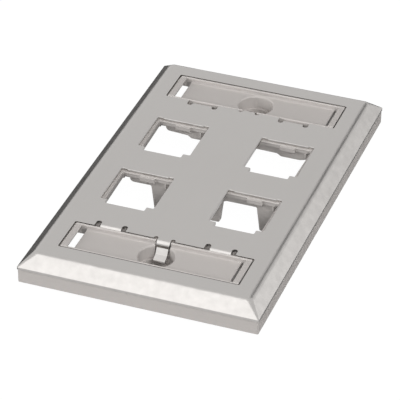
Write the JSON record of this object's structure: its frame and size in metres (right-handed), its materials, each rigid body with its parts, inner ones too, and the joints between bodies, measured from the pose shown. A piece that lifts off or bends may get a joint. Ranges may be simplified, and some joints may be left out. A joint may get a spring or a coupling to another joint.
{
  "type": "keystone wall faceplate",
  "caption": "Flat single-gang wall faceplate with square keystone jack openings, bevelled steel front and recessed label windows over the screw holes.",
  "frame": {"origin": "middle of the plane where the plate's back rim meets the wall, midway between the two mounting screws", "axes": "+Z out of the wall into the room, +Y up along the plate, +X to the right seen from the front"},
  "size_m": [0.0698, 0.1142, 0.0117],
  "materials": {
    "steel": "fine satin brushed stainless sheet",
    "base_plastic": "matte warm grey moulded plastic"
  },
  "bodies": {
    "root": {"steel_cover": "steel", "plastic_base": "base_plastic"}
  },
  "joints": []
}
